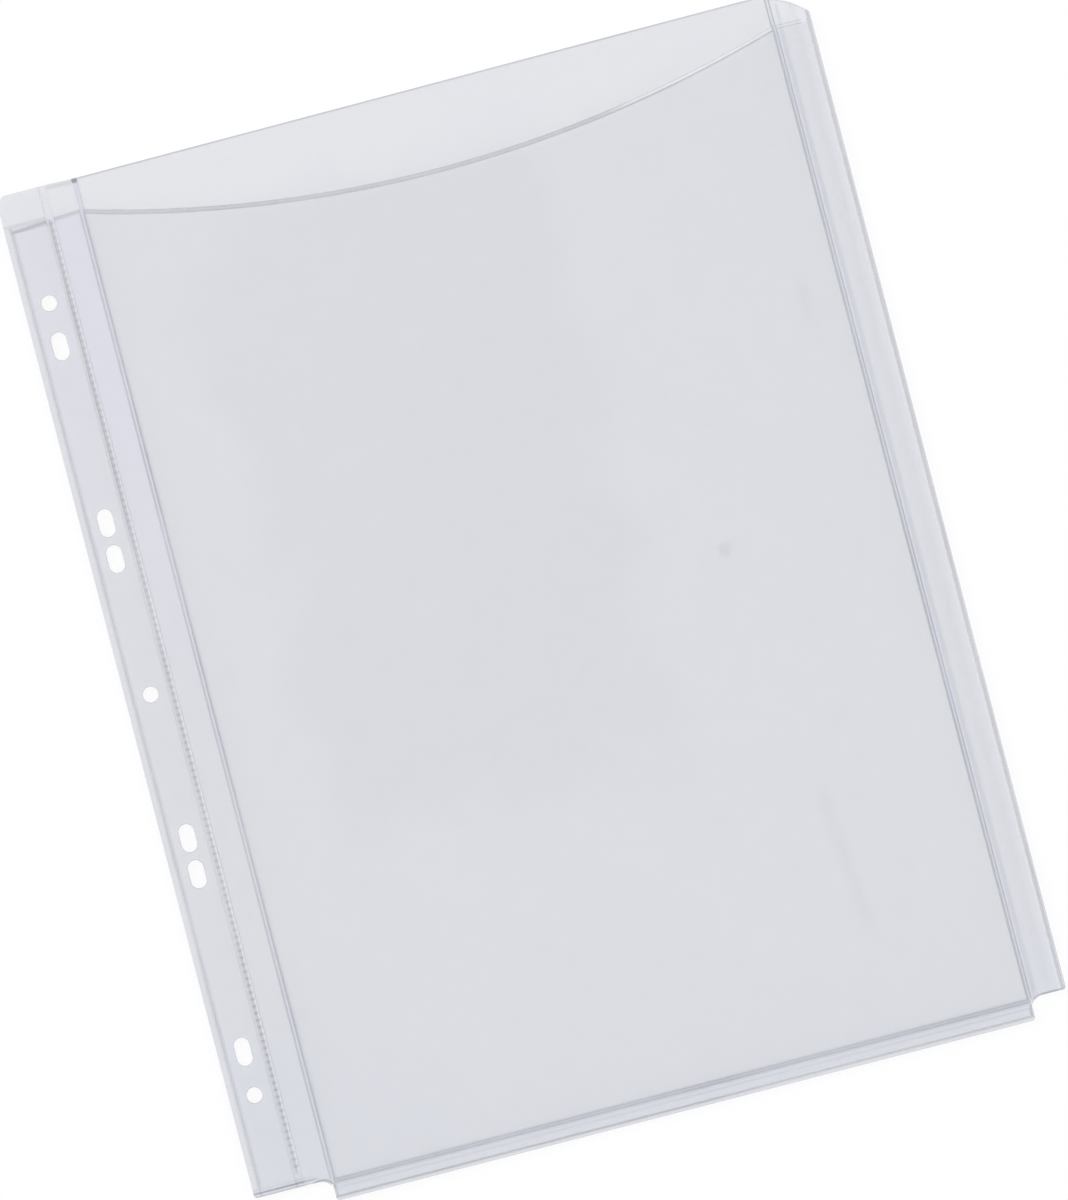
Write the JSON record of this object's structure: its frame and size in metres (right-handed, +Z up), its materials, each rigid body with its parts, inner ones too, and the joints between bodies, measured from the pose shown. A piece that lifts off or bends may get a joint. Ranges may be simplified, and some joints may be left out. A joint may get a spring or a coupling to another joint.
{
  "type": "expanding punched pocket",
  "caption": "Clear film pocket for a ring binder, with a punched strip, a dotted spine weld, a dipped mouth and creased gusset leaves that let its front panel rise.",
  "frame": {"origin": "on the table under the middle of the outline", "axes": "+Z up from the back panel to the front panel, +Y towards the open mouth, -X towards the punched strip"},
  "size_m": [0.245, 0.31, 0.0058],
  "materials": {
    "back_film": "clear soft film with a fine embossed grain",
    "front_film": "clear soft film with a fine embossed grain",
    "crease": "smooth pressed bead in the film",
    "weld": "films melted together, smooth with a low ridge"
  },
  "bodies": {
    "back": {"back_panel": "back_film", "back_left_crease": "crease", "back_right_crease": "crease", "back_bottom_crease": "crease"},
    "left_back_leaf": {"left_back_leaf": "back_film"},
    "spine": {"spine_weld": "weld"},
    "left_front_leaf": {"left_front_leaf": "front_film", "left_mouth_hem": "weld"},
    "front": {"front_panel": "front_film", "mouth_hem": "weld", "front_left_crease": "crease", "front_right_crease": "crease", "front_bottom_crease": "crease"},
    "strip": {"strip_back_layer": "back_film", "strip_front_layer": "front_film", "strip_edge_weld": "weld", "strip_foot_weld": "weld", "strip_head_weld": "weld"},
    "right_back_leaf": {"right_back_leaf": "back_film"},
    "right_edge": {"right_edge_weld": "weld"},
    "right_front_leaf": {"right_front_leaf": "front_film", "right_mouth_hem": "weld"},
    "bottom_back_leaf": {"bottom_back_leaf": "back_film"},
    "bottom_edge": {"bottom_edge_weld": "weld"},
    "bottom_front_leaf": {"bottom_front_leaf": "front_film"}
  },
  "joints": [
    {"name": "left_back_crease", "type": "hinge", "parent": "back", "child": "left_back_leaf", "pos_m": [-0.0988, 0, 0.0001], "axis": [0, 1, 0], "range_deg": [-12.9, 11]},
    {"name": "left_fold", "type": "hinge", "parent": "left_back_leaf", "child": "left_front_leaf", "pos_m": [-0.1074, 0, 0.0028], "axis": [0, -1, 0], "range_deg": [-28.9, 24.64]},
    {"name": "left_front_crease", "type": "hinge", "parent": "left_front_leaf", "child": "front", "pos_m": [-0.0988, 0, 0.0055], "axis": [0, 1, 0], "range_deg": [-14.45, 12.32]},
    {"name": "spine_fold", "type": "hinge", "parent": "left_back_leaf", "child": "spine", "pos_m": [-0.1074, 0, 0.0028], "axis": [0, -1, 0], "range_deg": [-14.45, 12.32]},
    {"name": "spine_flex", "type": "hinge", "parent": "spine", "child": "strip", "pos_m": [-0.1096, 0, 0.003], "axis": [0, 1, 0], "range_deg": [-3, 120], "stiffness_Nm_per_rad": 0.004},
    {"name": "right_back_crease", "type": "hinge", "parent": "back", "child": "right_back_leaf", "pos_m": [0.1112, 0, 0.0001], "axis": [0, -1, 0], "range_deg": [-12.43, 10.6]},
    {"name": "right_back_fold", "type": "hinge", "parent": "right_back_leaf", "child": "right_edge", "pos_m": [0.1212, 0, 0.0027], "axis": [0, 1, 0], "range_deg": [-12.43, 10.6]},
    {"name": "right_front_fold", "type": "hinge", "parent": "right_edge", "child": "right_front_leaf", "pos_m": [0.1212, 0, 0.0029], "axis": [0, 1, 0], "range_deg": [-12.43, 10.6]},
    {"name": "bottom_back_crease", "type": "hinge", "parent": "back", "child": "bottom_back_leaf", "pos_m": [0, -0.1489, 0.0001], "axis": [-1, 0, 0], "range_deg": [-27.02, 23.04]},
    {"name": "bottom_back_fold", "type": "hinge", "parent": "bottom_back_leaf", "child": "bottom_edge", "pos_m": [0, -0.1535, 0.0027], "axis": [1, 0, 0], "range_deg": [-27.02, 23.04]},
    {"name": "bottom_front_fold", "type": "hinge", "parent": "bottom_edge", "child": "bottom_front_leaf", "pos_m": [0, -0.1535, 0.0029], "axis": [1, 0, 0], "range_deg": [-27.02, 23.04]}
  ],
  "couplings": [
    {"joint": "left_fold", "follows": "left_back_crease", "ratio": 2},
    {"joint": "left_front_crease", "follows": "left_back_crease", "ratio": 1},
    {"joint": "spine_fold", "follows": "left_back_crease", "ratio": 1},
    {"joint": "right_back_crease", "follows": "left_back_crease", "ratio": 0.86},
    {"joint": "right_back_fold", "follows": "left_back_crease", "ratio": 0.86},
    {"joint": "right_front_fold", "follows": "left_back_crease", "ratio": 0.86},
    {"joint": "bottom_back_crease", "follows": "left_back_crease", "ratio": 1.87},
    {"joint": "bottom_back_fold", "follows": "left_back_crease", "ratio": 1.87},
    {"joint": "bottom_front_fold", "follows": "left_back_crease", "ratio": 1.87}
  ]
}
